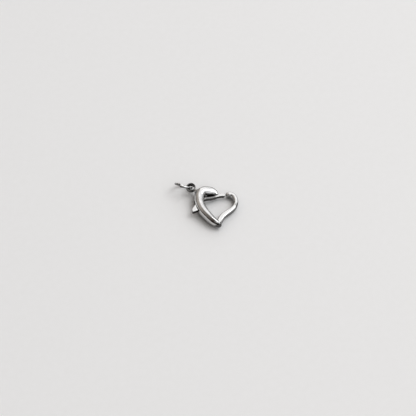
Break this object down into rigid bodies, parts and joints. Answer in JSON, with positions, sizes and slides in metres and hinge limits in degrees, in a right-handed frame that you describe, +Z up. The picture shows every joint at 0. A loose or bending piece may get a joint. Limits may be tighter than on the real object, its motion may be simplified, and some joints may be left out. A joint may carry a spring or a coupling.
{
  "type": "heart-shaped lobster clasp charm",
  "caption": "Heart-shaped lobster clasp charm in polished steel: a cast heart hook with an eye and an open jump ring, and a sprung lever with a thumb tab.",
  "frame": {"origin": "the middle of the whole thing's plan, on the surface that it lies on", "axes": "+Z up from the surface, +X along the longest side of the plan from the jump ring to the hook's lobe, +Y towards the top of the heart"},
  "size_m": [0.016, 0.0135, 0.004],
  "materials": {
    "cast_steel": "high polish over a cast surface, with faint polishing lines and soft waves",
    "lever_steel": "polished, with rounded edges",
    "ring_wire": "drawn and polished wire, cut square at its ends"
  },
  "bodies": {
    "clasp": {"clasp_body": "cast_steel", "pivot_pin": "cast_steel", "jump_ring": "ring_wire"},
    "lever": {"lever": "lever_steel"}
  },
  "joints": [
    {"name": "lever_hinge", "type": "hinge", "parent": "clasp", "child": "lever", "pos_m": [-0.00169, 0.00033, 0.00168], "axis": [-0.0847, 0, -0.9964], "range_deg": [0, 22], "stiffness_Nm_per_rad": 0.002}
  ]
}
